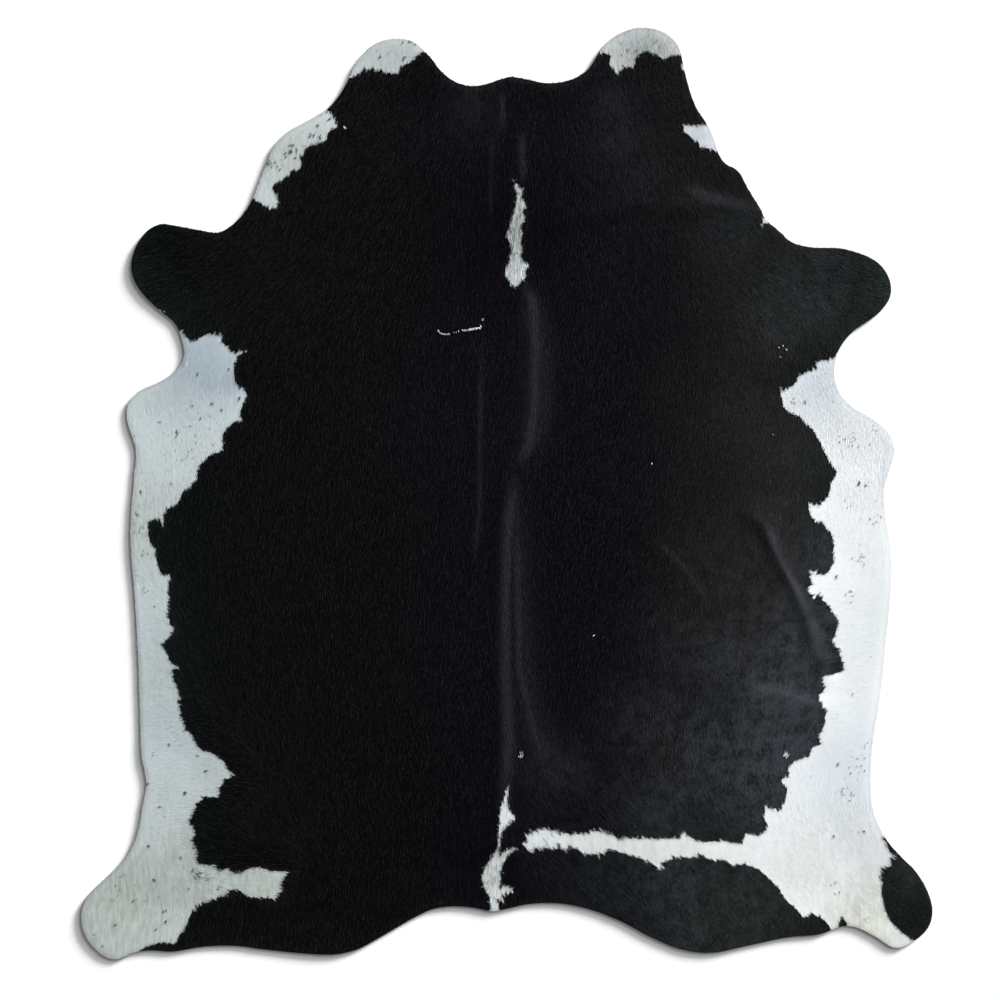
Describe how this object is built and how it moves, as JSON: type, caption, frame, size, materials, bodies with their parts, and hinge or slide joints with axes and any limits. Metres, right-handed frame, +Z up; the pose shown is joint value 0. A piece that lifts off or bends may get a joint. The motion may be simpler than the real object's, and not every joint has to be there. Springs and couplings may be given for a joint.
{
  "type": "cowhide rug",
  "caption": "Flat hair-on cowhide rug in the animal's whole outline, black with uneven white patches along its edges and spine.",
  "frame": {"origin": "on the floor, under the middle of the hide's bounding box", "axes": "+Y along the spine to the neck, +X to the right as seen from above, +Z up out of the hair side"},
  "size_m": [2.09, 2.288, 0.0112],
  "materials": {
    "cowhide": "short smooth hair, satin"
  },
  "bodies": {
    "root": {"hide": "cowhide"}
  },
  "joints": []
}
